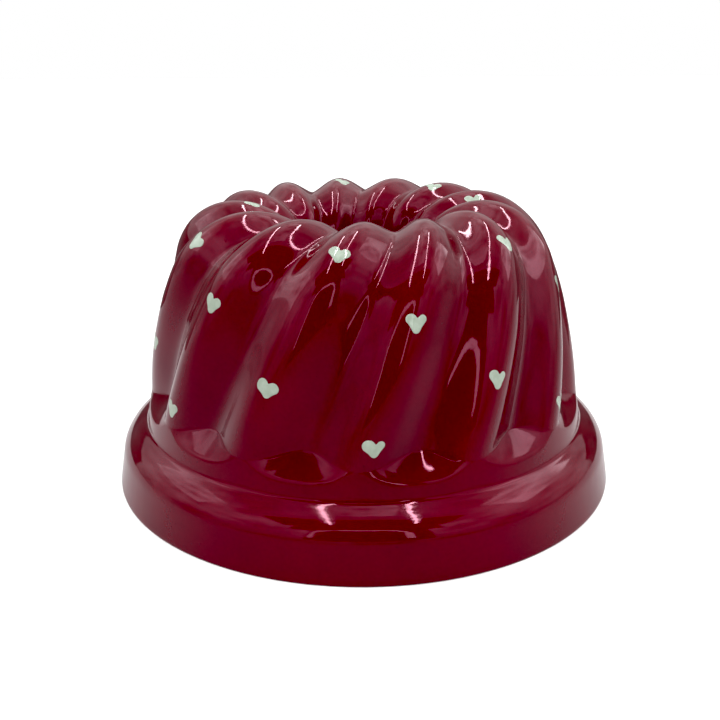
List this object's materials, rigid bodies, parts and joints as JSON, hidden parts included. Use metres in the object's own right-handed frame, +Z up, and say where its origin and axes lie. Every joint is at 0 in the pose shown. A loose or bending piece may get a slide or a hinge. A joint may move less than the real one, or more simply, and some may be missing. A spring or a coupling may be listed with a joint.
{
  "type": "kugelhopf mould",
  "caption": "Glazed earthenware ring cake mould with swirled flutes, a broad rim band and an open chimney, standing upside down on its rim; crimson with small pale hearts.",
  "frame": {"origin": "centre of the rim's flat, on the surface that the mould stands on", "axes": "+Z up along the chimney, from the rim to the crown; -Y towards the viewer"},
  "size_m": [0.22, 0.22, 0.1205],
  "materials": {
    "crimson_glaze": "glossy transparent glaze over a deep crimson ground",
    "heart_slip": "pale mint-white slip painted under the same glossy glaze"
  },
  "bodies": {
    "root": {"mould": "crimson_glaze"}
  },
  "joints": []
}
